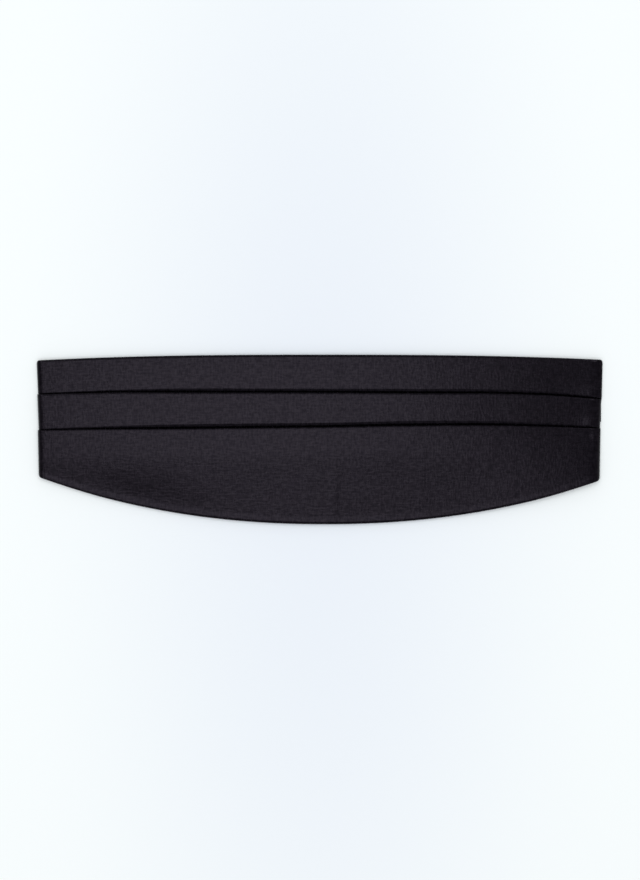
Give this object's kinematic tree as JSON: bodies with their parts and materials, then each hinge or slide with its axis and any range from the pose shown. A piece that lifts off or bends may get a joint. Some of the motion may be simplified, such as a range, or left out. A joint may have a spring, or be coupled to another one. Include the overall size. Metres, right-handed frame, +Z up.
{
  "type": "cummerbund",
  "caption": "Black satin cummerbund laid face up, its pleated front with a curved lower edge, closed behind itself by a waist strap with a hook and eye.",
  "frame": {"origin": "on the surface the garment lies on, under the middle of its bounding box", "axes": "+X along the garment towards the right as it is seen from the front, +Y towards its top edge, +Z up out of its face"},
  "size_m": [0.4238, 0.127, 0.0054],
  "materials": {
    "satin": "black satin weave with a soft sheen, pressed into pleats",
    "strap": "black woven strap, plain and slightly ribbed",
    "clasp_metal": "stamped steel sheet, nickel plated"
  },
  "bodies": {
    "root": {"pleated_front": "satin", "strap_left": "strap", "strap_right": "strap", "clasp_hook": "clasp_metal", "clasp_eye": "clasp_metal"}
  },
  "joints": []
}
